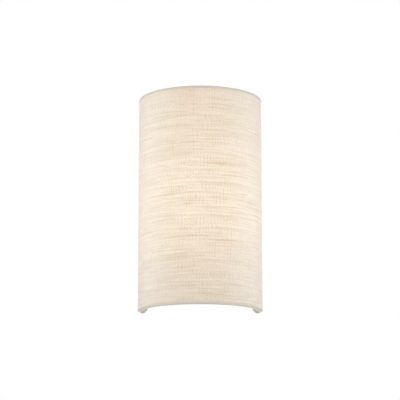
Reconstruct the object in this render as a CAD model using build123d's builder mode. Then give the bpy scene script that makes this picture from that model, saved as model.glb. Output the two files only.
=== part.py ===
from build123d import *

import os
from math import asin, atan2, cos, pi, radians, sin, sqrt

# Half-round fabric shade wall light.
# X runs to the right, Y into the wall and Z up. The origin is midway between the two wall box screw slots, on
# the face of the wall. Sizes are in millimetres.

# ---------------------------------------------------------------- shade
shade_width = 178.0
shade_height = 311.0
shade_return = 6.0  # straight part of the plan, between the half circle and the wall
shade_corner_radius = 11.0  # rear corners of the panel, seen from the side
foot_drop = 1.1  # how far the uprights' round ends show below the panel's rim
fabric_thickness = 0.6
liner_thickness = 0.6
binding_thickness = 0.4
bottom_binding_height = 5.0
top_binding_height = 3.0
binding_tuck = 6.5  # height of the binding's inner turn, behind the hoop

hoop_wire_diameter = 3.0
hoop_rise = 3.5  # rim to the middle of the wire
hoop_turn_radius = 8.5  # where the hoop's ends turn along the uprights
hoop_weld_length = 8.0
hoop_clearance = 0.4  # liner to wire

upright_width = 12.9
upright_thickness = 1.5
sleeve_thickness = 0.6
sleeve_edge_radius = 1.0
running_gap = 0.3  # sleeve to wall, and sleeve to channel lip
weld_gap = 0.02
weld_slot_clearance = 0.3  # sleeve to the wire or lug that is welded through it
cut_margin = 1.0  # how far a cutting outline stands past what it cuts

lug_width = 5.0
lug_thickness = 1.2
lug_height = 12.0
lug_reach = 6.0
lug_bend_radius = 0.8
lug_inset = 0.5  # from the upright's inner edge
lug_gap = 0.2  # lug to the top of the lip

# ---------------------------------------------------------------- wall plate and strap
plate_side_gap = 4.9  # from the plate's side wall to the uprights' sleeves
plate_end_inset = 35.5  # from the shade's rims to the plate's ends
plate_depth = 14.0
plate_thickness = 1.0
plate_corner_radius = 10.0
plate_edge_radius = 3.0
bead_width = 6.0  # stiffening beads pressed out of the plate's face
bead_height = 0.8
bead_edge_radius = 0.5
bead_inset = 15.0  # from the plate's sides to the beads' middles
bead_gap = 40.0  # between the upper and the lower beads
bead_end_inset = 22.0  # from the plate's ends
lip_overlap = 7.1  # how far a lip reaches over the sleeve
lip_bend_radius = 1.5

box_screw_spacing = 88.9
box_slot_length = 12.0
box_slot_width = 4.4
strap_end_margin = 9.55  # from the middle of a screw slot to the strap's end
strap_height = 24.0
strap_thickness = 1.6
strap_corner_radius = 4.0
strap_centre_hole = 10.4

stud_spacing = 60.0
stud_diameter = 4.0
stud_hole_clearance = 0.05
plate_hole_clearance = 0.5
stud_projection = 6.0  # past the front of the plate
small_chamfer = 0.4
nut_flats = 7.0
nut_thickness = 3.2
cap_nut_flats = 8.0
cap_nut_hex_height = 3.5
cap_nut_dome_radius = 3.8
cap_nut_depth = 6.5

earth_screw_x = 16.0
earth_screw_z = -6.5

# ---------------------------------------------------------------- lampholder
holder_rise = 10.0  # lampholder's seat above the plate's lower end
holder_y = -50.0
holder_base_radius = 19.0
holder_base_height = 5.0
holder_barrel_radius = 17.0
holder_height = 38.0
holder_floor = 11.0
holder_wall = 2.7
holder_lip_chamfer = 1.2
holder_shoulder = 1.5
lead_hole_rise = 5.6
lead_hole_spacing = 10.0
lead_hole_depth = 6.0

shell_inner_radius = 13.3
shell_thickness = 0.7
shell_height = 24.0
shell_flange_hole = 7.0

bracket_width = 28.0
bracket_thickness = 1.2
bracket_upright = 20.0
bracket_reach = 52.0
bracket_bend_radius = 1.5
bracket_top_radius = 4.0
bracket_nose_radius = 8.4
gusset_reach = 14.0  # the bracket's side flanges, out from its upright
gusset_rise = 13.0  # and up from its shelf
gusset_blunt = 2.0  # square ends of a flange's sloping edge
rivet_spacing = 18.0
rivet_drop = 6.0  # below the bracket's top edge
rivet_radius = 1.6
rivet_head_radius = 3.0
rivet_head_height = 1.0
rivet_tail_radius = 2.4
rivet_tail_height = 0.6
holder_screw_spacing = 20.0
holder_screw_diameter = 3.0
holder_screw_length = 8.0
holder_screw_head = (5.6, 2.0)  # diameter and height
screw_hole_spare = 0.5  # past the screw's end
screw_slot_width = 0.8
screw_gap = 0.05

tongue_width = 5.0
tongue_thickness = 0.5
tongue_foot_start = -5.5  # along X from the lampholder's axis
tongue_foot_end = -1.5
tongue_top_end = 3.5
tongue_tail_end = 5.0
tongue_tail_drop = 2.0

# ---------------------------------------------------------------- bulb
bulb_seat = 14.5  # tip of the bulb above the lampholder's seat
tip_height = 2.0
tip_radius = 4.5
insulator_height = 4.0
cap_radius = 13.15
cap_foot_radius = 10.6
cap_taper = 2.0
cap_thickness = 0.4
cap_height = 19.0
housing_height = 39.0
housing_neck_radius = 14.0
housing_neck_height = 4.0
housing_waist_share = 0.6  # how far up the housing its flare is half done
housing_waist_inset = 1.0
housing_flare_rise = 27.0
globe_radius = 30.0
globe_top = 108.0  # above the tip
globe_wall = 1.2
board_thickness = 1.6
board_clearance = 1.0

# ---------------------------------------------------------------- wiring
lead_diameter = 2.0
lead_clearance = 0.3
lead_insert = 5.0  # how far a lead goes into the lampholder or the block
lead_drop_y = -22.4  # where the leads run down between the plate and the lampholder
lead_straight = 8.0  # below the block
bush_lead_spacing = 6.4
bush_rise = 34.0  # above the lampholder's seat
bush_bore_radius = 5.2
bush_body_radius = 7.0
bush_flange_radius = 9.0
bush_flange_thickness = 1.2
bush_lock_width = 1.0
pole_pitch = 8.0
block_width = 26.0
block_height = 16.0
block_thickness = 10.0
block_rise = 26.0  # lower end above the bush
block_corner_radius = 1.0
block_groove_width = 1.2
block_groove_depth = 2.5
block_web = 1.0  # half the web between the two wire holes of a pole
block_wire_clearance = 0.5
block_screw_length = 7.0
block_screw_head = (5.6, 1.8)
clamp_screw_diameter = 3.0
clamp_screw_height = 1.6
clamp_screw_offset = 4.5
clamp_slot_width = 0.6
clamp_slot_depth = 0.6
tag_x = 24.0
tag_drop = 2.0  # below the block's top
tag_ring_radius = 4.0
tag_hole_radius = 2.1
tag_thickness = 0.8
tag_barrel_radius = 2.0
tag_barrel_length = 6.0
tag_neck_length = 1.0
tag_neck_width = 2.4
tag_barrel_hole_depth = 3.0
tag_lead_clearance = 0.1
earth_lead_drop = 12.0
earth_lead_offset = 1.0
fixing_screw_diameter = 4.0
fixing_screw_head = (7.0, 2.4)
plate_earth_screw_length = 4.5

# ---------------------------------------------------------------- worked out from the sizes above
shade_bottom = -shade_height / 2
shade_top = shade_height / 2
binding_radius = shade_width / 2
panel_bottom = shade_bottom + foot_drop
panel_mid_z = (panel_bottom + shade_top) / 2
shade_depth = binding_radius + shade_return
curve_centre_y = -shade_return
fabric_radius = binding_radius - binding_thickness
liner_radius = fabric_radius - fabric_thickness
liner_inner_radius = liner_radius - liner_thickness
hoop_wire_radius = hoop_wire_diameter / 2
hoop_radius = liner_inner_radius - hoop_clearance - hoop_wire_radius
tuck_radius = hoop_radius - hoop_wire_radius

sleeve_rear_y = -running_gap
upright_rear_y = sleeve_rear_y - sleeve_thickness
upright_front_y = upright_rear_y - upright_thickness
sleeve_front_y = upright_front_y - sleeve_thickness
sleeve_width = upright_width + 2 * sleeve_thickness
sleeve_x = binding_radius - sleeve_width / 2
lip_rear_y = sleeve_front_y - running_gap
lip_front_y = lip_rear_y - plate_thickness
plate_width = 2 * (sleeve_x - sleeve_width / 2 - plate_side_gap)
plate_height = shade_height - 2 * plate_end_inset
bead_length = (plate_height - bead_gap) / 2 - bead_end_inset
bead_points = [
    (side * (plate_width / 2 - bead_inset), end * (bead_gap + bead_length) / 2) for side in (-1, 1) for end in (-1, 1)
]
lip_edge_x = sleeve_x - sleeve_width / 2 + lip_overlap
lip_length = plate_height - 2 * plate_corner_radius
lip_top_z = lip_length / 2
plate_front_y = -plate_depth
plate_inner_y = plate_front_y + plate_thickness
lug_foot_z = lip_top_z + lug_gap
lug_front_y = upright_front_y - lug_reach
strap_length = box_screw_spacing + 2 * strap_end_margin
stud_xs = (-stud_spacing / 2, stud_spacing / 2)
rivet_xs = (-rivet_spacing / 2, rivet_spacing / 2)
screw_xs = (-holder_screw_spacing / 2, holder_screw_spacing / 2)
lead_hole_xs = (-lead_hole_spacing / 2, lead_hole_spacing / 2)
bush_lead_xs = (-bush_lead_spacing / 2, bush_lead_spacing / 2)
holder_seat_z = holder_rise - plate_height / 2
bracket_top_z = holder_seat_z - bracket_thickness + bracket_upright
rivet_z = bracket_top_z - rivet_drop
bulb_tip_z = holder_seat_z + bulb_seat
bush_z = holder_seat_z + bush_rise
block_bottom_z = bush_z + block_rise
block_top_z = block_bottom_z + block_height
tag_z = block_top_z - tag_drop
block_front_y = plate_inner_y
block_rear_y = block_front_y + block_thickness
block_mid_y = (block_front_y + block_rear_y) / 2
block_mid_z = block_top_z - block_height / 2
pole_xs = (-pole_pitch, 0.0, pole_pitch)
block_screw_x = pole_pitch / 2
clamp_points = [(x, block_mid_z + side * clamp_screw_offset) for x in pole_xs for side in (-1, 1)]
os.makedirs("parts", exist_ok=True)


# ---------------------------------------------------------------- shared outlines
def half_round_wall(outer, inner):
    """Plan of a wall round the front half circle, with short straight returns to the uprights' sleeves."""
    with BuildSketch() as plan:
        with BuildLine():
            Line((-outer, sleeve_front_y), (-outer, curve_centre_y))
            ThreePointArc((-outer, curve_centre_y), (0, curve_centre_y - outer), (outer, curve_centre_y))
            Line((outer, curve_centre_y), (outer, sleeve_front_y))
            Line((outer, sleeve_front_y), (inner, sleeve_front_y))
            Line((inner, sleeve_front_y), (inner, curve_centre_y))
            ThreePointArc((inner, curve_centre_y), (0, curve_centre_y - inner), (-inner, curve_centre_y))
            Line((-inner, curve_centre_y), (-inner, sleeve_front_y))
            Line((-inner, sleeve_front_y), (-outer, sleeve_front_y))
        make_face()
    return plan.sketch


def side_outline(inset, rear_inset=0.0):
    """The shade from the side, Y across and Z up, with its rear corners rounded, drawn in by inset."""
    rear = sleeve_front_y - rear_inset
    low = panel_bottom + inset
    high = shade_top - inset
    radius = shade_corner_radius + binding_thickness - inset
    front = -shade_depth - cut_margin
    slant = radius * (1 - sqrt(0.5))
    with BuildSketch() as side:
        with BuildLine():
            Line((front, low), (rear - radius, low))
            ThreePointArc((rear - radius, low), (rear - slant, low + slant), (rear, low + radius))
            Line((rear, low + radius), (rear, high - radius))
            ThreePointArc((rear, high - radius), (rear - slant, high - slant), (rear - radius, high))
            Line((rear - radius, high), (front, high))
            Line((front, high), (front, low))
        make_face()
    return side.sketch


def shade_panel(outer, inner):
    """A sheet bent round the front, with its rear corners rounded off."""
    with BuildPart() as panel:
        with BuildSketch(Plane.XY.offset(panel_bottom)):
            add(half_round_wall(outer, inner))
        extrude(amount=shade_top - panel_bottom)
        with BuildSketch(Plane.YZ):
            add(side_outline(binding_thickness))
        extrude(amount=shade_width, both=True, mode=Mode.INTERSECT)
    return panel.part


def rim_binding(height):
    """A strip turned over the lower rim: outside the linen, under the edge and up behind the hoop."""
    corner_start_y = sleeve_front_y - shade_corner_radius - binding_thickness
    corner_top = shade_corner_radius + binding_thickness
    with BuildPart() as strip:
        with BuildSketch(Plane.XY.offset(panel_bottom)):
            add(half_round_wall(binding_radius, fabric_radius))
        extrude(amount=corner_top)
        with BuildSketch(Plane.YZ):
            add(side_outline(0.0))
            add(side_outline(height, rear_inset=height), mode=Mode.SUBTRACT)
        extrude(amount=shade_width, both=True, mode=Mode.INTERSECT)
    with BuildPart() as turn:
        with BuildSketch(Plane.XY.offset(panel_bottom)):
            add(half_round_wall(binding_radius, tuck_radius - binding_thickness))
        extrude(amount=binding_thickness)
        with BuildSketch(Plane.XY.offset(panel_bottom)):
            add(half_round_wall(tuck_radius, tuck_radius - binding_thickness))
        extrude(amount=binding_tuck)
        with BuildSketch(Plane.YZ):
            with Locations((corner_start_y, panel_bottom)):
                Rectangle(shade_depth, 2 * shade_height, align=(Align.MAX, Align.CENTER))
        extrude(amount=shade_width, both=True, mode=Mode.INTERSECT)
    with BuildPart() as binding:
        add(strip.part)
        add(turn.part)
    return binding.part


def wire_hoop(level):
    """A half hoop of round wire at height level. Its ends turn by 90 degrees and run along the uprights."""
    towards_middle = 1.0 if level < 0 else -1.0
    end_y = upright_front_y - hoop_wire_radius - weld_gap
    # The turn starts where the half circle still leans in a little, so it leans the same way.
    # With c for the half circle's centre and R for its radius, end_y = c - R sin(lean) + turn cos(lean).
    reach = sqrt(hoop_radius**2 + hoop_turn_radius**2)
    lean = atan2(hoop_turn_radius, hoop_radius) - asin((end_y - curve_centre_y) / reach)
    start_y = curve_centre_y - hoop_radius * sin(lean)
    start_x = hoop_radius * cos(lean)
    bend = hoop_turn_radius * (1 - sqrt(0.5))
    run = hoop_turn_radius * sqrt(0.5)

    def turn_point(side, along, up):
        return (side * (start_x + along * sin(lean)), start_y + along * cos(lean), level + towards_middle * up)

    with BuildPart() as hoop:
        with BuildLine() as route:
            for side in (-1, 1):
                weld_start = turn_point(side, hoop_turn_radius, hoop_turn_radius)
                weld_end = turn_point(side, hoop_turn_radius, hoop_turn_radius + hoop_weld_length)
                Line(weld_end, weld_start)
                ThreePointArc(weld_start, turn_point(side, run, bend), turn_point(side, 0, 0))
            ThreePointArc(turn_point(-1, 0, 0), (0, curve_centre_y - hoop_radius, level), turn_point(1, 0, 0))
        end = turn_point(-1, hoop_turn_radius, hoop_turn_radius + hoop_weld_length)
        with BuildSketch(Plane(origin=end, z_dir=(0, 0, -towards_middle))):
            Circle(hoop_wire_radius)
        sweep(path=route.wires()[0])
    wire_length = sum(edge.length for edge in route.edges())
    print(f"hoop volume {hoop.part.volume:.0f}, section times length {pi * hoop_wire_radius**2 * wire_length:.0f}")
    return hoop.part, abs(end[0])


def pan_screw(shank_diameter, shank_length, head):
    """A slotted screw along Z, with its head's seat at 0, its head above and its shank below."""
    head_diameter, head_height = head
    with BuildPart() as screw:
        Cylinder(head_diameter / 2, head_height, align=(Align.CENTER, Align.CENTER, Align.MIN))
        fillet(screw.faces().sort_by(Axis.Z)[-1].edges(), radius=0.35 * head_height)
        with BuildSketch(Plane.XY.offset(head_height)):
            Rectangle(head_diameter + cut_margin, screw_slot_width)
        extrude(amount=-0.4 * head_height, mode=Mode.SUBTRACT)
        Cylinder(shank_diameter / 2, shank_length, align=(Align.CENTER, Align.CENTER, Align.MAX))
    return screw.part


def lead_route_radii(points, smallest):
    """Each corner's radius: 0.45 of its shorter run, divided by the tangent of half the turn."""
    radii = []
    for before, corner, after in zip(points, points[1:], points[2:]):
        run_in = Vector(*corner) - Vector(*before)
        run_out = Vector(*after) - Vector(*corner)
        half_turn = radians(run_in.get_angle(run_out)) / 2
        radii.append(0.45 * min(run_in.length, run_out.length) * cos(half_turn) / sin(half_turn))
    print("lead radii", [round(radius, 1) for radius in radii], "least allowed", smallest)
    return radii


def insulated_lead(points):
    """A round lead along straight runs joined by tangent arcs."""
    with BuildPart() as lead:
        with BuildLine() as route:
            FilletPolyline(*points, radius=lead_route_radii(points, 3 * lead_diameter))
        with BuildSketch(Plane(origin=route.line @ 0, z_dir=route.line % 0)):
            Circle(lead_diameter / 2)
        sweep(path=route.line)
    route_length = sum(edge.length for edge in route.edges())
    print(f"lead volume {lead.part.volume:.1f}, section times length {pi * lead_diameter**2 / 4 * route_length:.1f}")
    return lead.part


def save(piece, name):
    piece.part.label = name
    export_step(piece.part, f"parts/{name}.step")


# ---------------------------------------------------------------- shade: linen, liner and rim bindings
with BuildPart() as shade_fabric:
    add(shade_panel(fabric_radius, liner_radius))
save(shade_fabric, "shade_fabric")

with BuildPart() as shade_liner:
    add(shade_panel(liner_radius, liner_inner_radius))
save(shade_liner, "shade_liner")

with BuildPart() as bottom_binding:
    add(rim_binding(bottom_binding_height))
save(bottom_binding, "bottom_binding")

with BuildPart() as top_binding:
    add(mirror(rim_binding(top_binding_height), about=Plane.XY.offset(panel_mid_z), mode=Mode.PRIVATE))
save(top_binding, "top_binding")

# ---------------------------------------------------------------- shade: wire hoops
bottom_wire, weld_x = wire_hoop(panel_bottom + hoop_rise)
top_wire, weld_x = wire_hoop(shade_top - hoop_rise)
with BuildPart() as bottom_hoop:
    add(bottom_wire)
save(bottom_hoop, "bottom_hoop")

with BuildPart() as top_hoop:
    add(top_wire)
save(top_hoop, "top_hoop")

# ---------------------------------------------------------------- shade: uprights, their sleeves and hanger lugs
weld_slot_width = hoop_wire_diameter + 2 * weld_slot_clearance
weld_slot_length = hoop_turn_radius + hoop_weld_length + weld_slot_clearance
lug_x = sleeve_x - upright_width / 2 + lug_width / 2 + lug_inset
for side, name in ((-1, "left"), (1, "right")):
    with BuildPart() as upright:
        with BuildSketch(Plane.XZ.offset(-upright_rear_y)):
            with Locations((side * sleeve_x, 0)):
                SlotOverall(shade_height - 2 * sleeve_thickness, upright_width, rotation=90)
        extrude(amount=upright_thickness)
    save(upright, f"{name}_upright")

    with BuildPart() as sleeve:
        with BuildSketch(Plane.XZ.offset(-sleeve_rear_y)):
            with Locations((side * sleeve_x, 0)):
                SlotOverall(shade_height, sleeve_width, rotation=90)
        extrude(amount=sleeve_rear_y - sleeve_front_y)
        fillet(sleeve.faces().filter_by(Axis.Y).edges(), radius=sleeve_edge_radius)
        with BuildSketch(Plane.XZ.offset(-upright_rear_y)):
            with Locations((side * sleeve_x, 0)):
                SlotOverall(shade_height - 2 * sleeve_thickness, upright_width, rotation=90)
        extrude(amount=upright_thickness, mode=Mode.SUBTRACT)
        with BuildSketch(Plane.XZ.offset(-upright_front_y)):
            for rim, toward in ((panel_bottom, 1), (shade_top, -1)):
                with Locations((side * weld_x, rim + toward * (hoop_rise + weld_slot_length / 2))):
                    Rectangle(weld_slot_width, weld_slot_length)
            with Locations((side * lug_x, lug_foot_z + lug_height / 2)):
                Rectangle(lug_width + 2 * weld_slot_clearance, lug_height + 2 * weld_slot_clearance)
        extrude(amount=sleeve_thickness, mode=Mode.SUBTRACT)
    save(sleeve, f"{name}_sleeve")

    with BuildPart() as lug:
        with BuildSketch(Plane.YZ.offset(side * lug_x - lug_width / 2)):
            with BuildLine():
                Polyline(
                    (upright_front_y, lug_foot_z),
                    (lug_front_y, lug_foot_z),
                    (lug_front_y, lug_foot_z + lug_thickness),
                    (upright_front_y - lug_thickness, lug_foot_z + lug_thickness),
                    (upright_front_y - lug_thickness, lug_foot_z + lug_height),
                    (upright_front_y, lug_foot_z + lug_height),
                    close=True,
                )
            make_face()
        extrude(amount=lug_width)
        inner_bend = lug.edges().filter_by(Axis.X).sort_by_distance(
            (side * lug_x, upright_front_y - lug_thickness, lug_foot_z + lug_thickness)
        )[0]
        fillet(inner_bend, radius=lug_bend_radius)
    save(lug, f"{name}_hanger_lug")

# ---------------------------------------------------------------- wall plate with its side channels
with BuildPart() as back_plate:
    with BuildSketch(Plane.XZ):
        RectangleRounded(plate_width, plate_height, plate_corner_radius)
    extrude(amount=plate_depth)
    fillet(back_plate.faces().sort_by(Axis.Y)[0].edges(), radius=plate_edge_radius)
    offset(amount=-plate_thickness, openings=back_plate.faces().sort_by(Axis.Y)[-1])
    with BuildSketch(Plane.XZ):
        with Locations((-plate_width / 2, 0), (plate_width / 2, 0)):
            Rectangle(4 * plate_thickness, lip_length)
    extrude(amount=-lip_rear_y, mode=Mode.SUBTRACT)
    wall_x = plate_width / 2
    slant = lip_bend_radius * (1 - sqrt(0.5))
    with BuildSketch(Plane.XY.offset(-lip_length / 2)):
        for side in (-1, 1):
            with BuildLine():
                bend_start = (side * (wall_x + lip_bend_radius), lip_front_y)
                bend_end = (side * wall_x, lip_front_y - lip_bend_radius)
                Line((side * (wall_x - plate_thickness), lip_rear_y), (side * lip_edge_x, lip_rear_y))
                Line((side * lip_edge_x, lip_rear_y), (side * lip_edge_x, lip_front_y))
                Line((side * lip_edge_x, lip_front_y), bend_start)
                ThreePointArc(bend_start, (side * (wall_x + slant), lip_front_y - slant), bend_end)
                Line(bend_end, (side * (wall_x - plate_thickness), lip_front_y - lip_bend_radius))
                Line(
                    (side * (wall_x - plate_thickness), lip_front_y - lip_bend_radius),
                    (side * (wall_x - plate_thickness), lip_rear_y),
                )
            make_face()
    extrude(amount=lip_length)
    with BuildSketch(Plane.XZ.offset(plate_depth)):
        with Locations(bead_points):
            SlotOverall(bead_length, bead_width, rotation=90)
    extrude(amount=bead_height)
    with BuildSketch(Plane.XZ.offset(-plate_inner_y)):
        with Locations(bead_points):
            SlotOverall(bead_length - 2 * plate_thickness, bead_width - 2 * plate_thickness, rotation=90)
    extrude(amount=bead_height, mode=Mode.SUBTRACT)
    fillet(back_plate.faces().sort_by(Axis.Y)[:4].edges(), radius=bead_edge_radius)
    with BuildSketch(Plane.XZ):
        with Locations([(x, 0) for x in stud_xs]):
            Circle(stud_diameter / 2 + plate_hole_clearance / 2)
        with Locations((0, bush_z)):
            Circle(bush_body_radius + screw_gap)
        with Locations([(x, rivet_z) for x in rivet_xs]):
            Circle(rivet_radius + screw_gap)
        with Locations((block_screw_x, block_mid_z)):
            Circle(clamp_screw_diameter / 2 + screw_gap)
        with Locations((tag_x, tag_z)):
            Circle(fixing_screw_diameter / 2 + screw_gap)
    extrude(amount=plate_depth, mode=Mode.SUBTRACT)
save(back_plate, "back_plate")

# ---------------------------------------------------------------- strap that bridges the wall box, and its studs
with BuildPart() as mounting_strap:
    with BuildSketch(Plane.XZ):
        RectangleRounded(strap_length, strap_height, strap_corner_radius)
        Circle(strap_centre_hole / 2, mode=Mode.SUBTRACT)
        with Locations((-box_screw_spacing / 2, 0), (box_screw_spacing / 2, 0)):
            SlotOverall(box_slot_length, box_slot_width, mode=Mode.SUBTRACT)
        with Locations([(x, 0) for x in stud_xs]):
            Circle(stud_diameter / 2 + stud_hole_clearance, mode=Mode.SUBTRACT)
        with Locations((earth_screw_x, earth_screw_z)):
            Circle(fixing_screw_diameter / 2 + screw_gap, mode=Mode.SUBTRACT)
    extrude(amount=strap_thickness)
save(mounting_strap, "mounting_strap")

with BuildPart() as strap_studs:
    with BuildSketch(Plane.XZ):
        with Locations([(x, 0) for x in stud_xs]):
            Circle(stud_diameter / 2)
    extrude(amount=plate_depth + stud_projection)
    chamfer(strap_studs.faces().filter_by(Axis.Y).edges(), length=small_chamfer)
save(strap_studs, "strap_studs")

with BuildPart() as lock_nuts:
    with BuildSketch(Plane.XZ.offset(strap_thickness)):
        with Locations([(x, 0) for x in stud_xs]):
            RegularPolygon(nut_flats / 2, 6, major_radius=False)
            Circle(stud_diameter / 2 + stud_hole_clearance, mode=Mode.SUBTRACT)
    extrude(amount=nut_thickness)
    chamfer(lock_nuts.faces().sort_by(Axis.Y)[:2].edges().filter_by(GeomType.LINE), length=small_chamfer)
save(lock_nuts, "lock_nuts")

with BuildPart() as cap_nuts:
    with BuildSketch(Plane.XZ.offset(plate_depth)):
        with Locations([(x, 0) for x in stud_xs]):
            RegularPolygon(cap_nut_flats / 2, 6, major_radius=False)
    extrude(amount=cap_nut_hex_height)
    with Locations([(x, plate_front_y - cap_nut_hex_height, 0) for x in stud_xs]):
        Sphere(cap_nut_dome_radius)
    with BuildSketch(Plane.XZ.offset(plate_depth)):
        with Locations([(x, 0) for x in stud_xs]):
            Circle(stud_diameter / 2 + stud_hole_clearance)
    extrude(amount=cap_nut_depth, mode=Mode.SUBTRACT)
    with BuildSketch(Plane.XZ.offset(plate_depth)):
        Rectangle(plate_width, 4 * cap_nut_flats)
    extrude(amount=-plate_depth, mode=Mode.SUBTRACT)
save(cap_nuts, "cap_nuts")

with BuildPart() as strap_earth_screw:
    with Locations(Plane.XZ.offset(strap_thickness)):
        with Locations((earth_screw_x, earth_screw_z)):
            add(pan_screw(fixing_screw_diameter, strap_thickness, fixing_screw_head))
save(strap_earth_screw, "strap_earth_screw")

# ---------------------------------------------------------------- lampholder bracket and rivets
with BuildPart() as holder_bracket:
    under = holder_seat_z - bracket_thickness
    front = plate_front_y - bracket_reach
    with BuildSketch(Plane.YZ.offset(-bracket_width / 2)):
        with BuildLine():
            Polyline(
                (plate_front_y, under),
                (front, under),
                (front, holder_seat_z),
                (plate_front_y - bracket_thickness, holder_seat_z),
                (plate_front_y - bracket_thickness, bracket_top_z),
                (plate_front_y, bracket_top_z),
                close=True,
            )
        make_face()
    extrude(amount=bracket_width)
    inner_bend = holder_bracket.edges().filter_by(Axis.X).sort_by_distance(
        (0, plate_front_y - bracket_thickness, holder_seat_z)
    )[0]
    fillet(inner_bend, radius=bracket_bend_radius)
    fillet(holder_bracket.faces().sort_by(Axis.Y)[0].edges().filter_by(Axis.Z), radius=bracket_nose_radius)
    fillet(holder_bracket.faces().sort_by(Axis.Z)[-1].edges().filter_by(Axis.Y), radius=bracket_top_radius)
    for flange_x in (-bracket_width / 2, bracket_width / 2 - bracket_thickness):
        with BuildSketch(Plane.YZ.offset(flange_x)):
            with BuildLine():
                Polyline(
                    (plate_front_y, under),
                    (plate_front_y - gusset_reach, under),
                    (plate_front_y - gusset_reach, holder_seat_z + gusset_blunt),
                    (plate_front_y - gusset_blunt, holder_seat_z + gusset_rise),
                    (plate_front_y, holder_seat_z + gusset_rise),
                    close=True,
                )
            make_face()
        extrude(amount=bracket_thickness)
    with BuildSketch(Plane.XZ.offset(plate_depth)):
        with Locations([(x, rivet_z) for x in rivet_xs]):
            Circle(rivet_radius + screw_gap)
    extrude(amount=bracket_thickness, mode=Mode.SUBTRACT)
    with BuildSketch(Plane.XY.offset(under)):
        with Locations([(x, holder_y) for x in screw_xs]):
            Circle(holder_screw_diameter / 2 + screw_gap)
    extrude(amount=bracket_thickness, mode=Mode.SUBTRACT)
save(holder_bracket, "holder_bracket")

with BuildPart() as bracket_rivets:
    with BuildSketch(Plane.XZ.offset(plate_depth + bracket_thickness)):
        with Locations([(x, rivet_z) for x in rivet_xs]):
            Circle(rivet_head_radius)
    extrude(amount=rivet_head_height)
    chamfer(bracket_rivets.faces().sort_by(Axis.Y)[:2].edges(), length=small_chamfer)
    with BuildSketch(Plane.XZ.offset(-plate_inner_y)):
        with Locations([(x, rivet_z) for x in rivet_xs]):
            Circle(rivet_radius)
    extrude(amount=plate_thickness + bracket_thickness)
    with BuildSketch(Plane.XZ.offset(-plate_inner_y)):
        with Locations([(x, rivet_z) for x in rivet_xs]):
            Circle(rivet_tail_radius)
    extrude(amount=-rivet_tail_height)
save(bracket_rivets, "bracket_rivets")

# ---------------------------------------------------------------- lampholder
holder_axis = Axis((0, holder_y, 0), (0, 0, 1))
holder_plane = Plane(origin=(0, holder_y, holder_seat_z), x_dir=(1, 0, 0), z_dir=(0, -1, 0))
holder_bore_radius = holder_barrel_radius - holder_wall
with BuildPart() as lampholder_body:
    with BuildSketch(holder_plane):
        with BuildLine():
            Polyline(
                (0, 0),
                (holder_base_radius, 0),
                (holder_base_radius, holder_base_height),
                (holder_barrel_radius, holder_base_height + holder_shoulder),
                (holder_barrel_radius, holder_height - holder_lip_chamfer),
                (holder_barrel_radius - holder_lip_chamfer, holder_height),
                (holder_bore_radius, holder_height),
                (holder_bore_radius, holder_floor),
                (0, holder_floor),
                close=True,
            )
        make_face()
    revolve(axis=holder_axis)
    with BuildSketch(Plane.XZ.offset(-holder_y - holder_base_radius)):
        with Locations([(x, holder_seat_z + lead_hole_rise) for x in lead_hole_xs]):
            Circle(lead_diameter / 2 + lead_clearance)
    extrude(amount=lead_hole_depth, mode=Mode.SUBTRACT)
    with BuildSketch(Plane.XY.offset(holder_seat_z)):
        with Locations([(x, holder_y) for x in screw_xs]):
            Circle(holder_screw_diameter / 2 + screw_gap)
    extrude(amount=holder_screw_length - bracket_thickness + screw_hole_spare, mode=Mode.SUBTRACT)
save(lampholder_body, "lampholder_body")

with BuildPart() as screw_shell:
    with BuildSketch(holder_plane):
        with BuildLine():
            Polyline(
                (shell_flange_hole, holder_floor),
                (shell_inner_radius + shell_thickness, holder_floor),
                (shell_inner_radius + shell_thickness, holder_floor + shell_height),
                (shell_inner_radius, holder_floor + shell_height),
                (shell_inner_radius, holder_floor + shell_thickness),
                (shell_flange_hole, holder_floor + shell_thickness),
                close=True,
            )
        make_face()
    revolve(axis=holder_axis)
save(screw_shell, "screw_shell")

with BuildPart() as contact_tongue:
    contact_rise = bulb_seat - holder_floor - running_gap
    foot_z = holder_seat_z + holder_floor + tongue_thickness / 2
    top_z = holder_seat_z + holder_floor + contact_rise - tongue_thickness / 2
    with BuildSketch(Plane(origin=(0, holder_y - tongue_width / 2, 0), x_dir=(1, 0, 0), z_dir=(0, -1, 0))):
        with BuildLine():
            Polyline(
                (tongue_foot_start, foot_z),
                (tongue_foot_end, foot_z),
                (0, top_z),
                (tongue_top_end, top_z),
                (tongue_tail_end, top_z - tongue_tail_drop),
            )
        trace(line_width=tongue_thickness)
    extrude(amount=-tongue_width)
save(contact_tongue, "contact_tongue")

with BuildPart() as holder_screws:
    with Locations(Plane(origin=(0, holder_y, holder_seat_z - bracket_thickness), z_dir=(0, 0, -1))):
        with Locations([(x, 0) for x in screw_xs]):
            add(pan_screw(holder_screw_diameter, holder_screw_length, holder_screw_head))
save(holder_screws, "holder_screws")

# ---------------------------------------------------------------- bulb
bulb_plane = Plane(origin=(0, holder_y, bulb_tip_z), x_dir=(1, 0, 0), z_dir=(0, -1, 0))
insulator_top = tip_height + insulator_height
cap_top = insulator_top + cap_height
housing_top = cap_top + housing_height
globe_centre = globe_top - globe_radius
rim_radius = sqrt(globe_radius**2 - (globe_centre - housing_top) ** 2)
with BuildPart() as bulb_tip:
    tip_sphere_radius = (tip_radius**2 + tip_height**2) / (2 * tip_height)
    with Locations((0, holder_y, bulb_tip_z + tip_sphere_radius)):
        Sphere(tip_sphere_radius)
    split(bisect_by=Plane.XY.offset(bulb_tip_z + tip_height), keep=Keep.BOTTOM)
save(bulb_tip, "bulb_tip")

with BuildPart() as bulb_insulator:
    with BuildSketch(bulb_plane):
        with BuildLine():
            Polyline(
                (0, tip_height),
                (tip_radius + small_chamfer, tip_height),
                (cap_foot_radius, insulator_top),
                (0, insulator_top),
                close=True,
            )
        make_face()
    revolve(axis=holder_axis)
save(bulb_insulator, "bulb_insulator")

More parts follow.
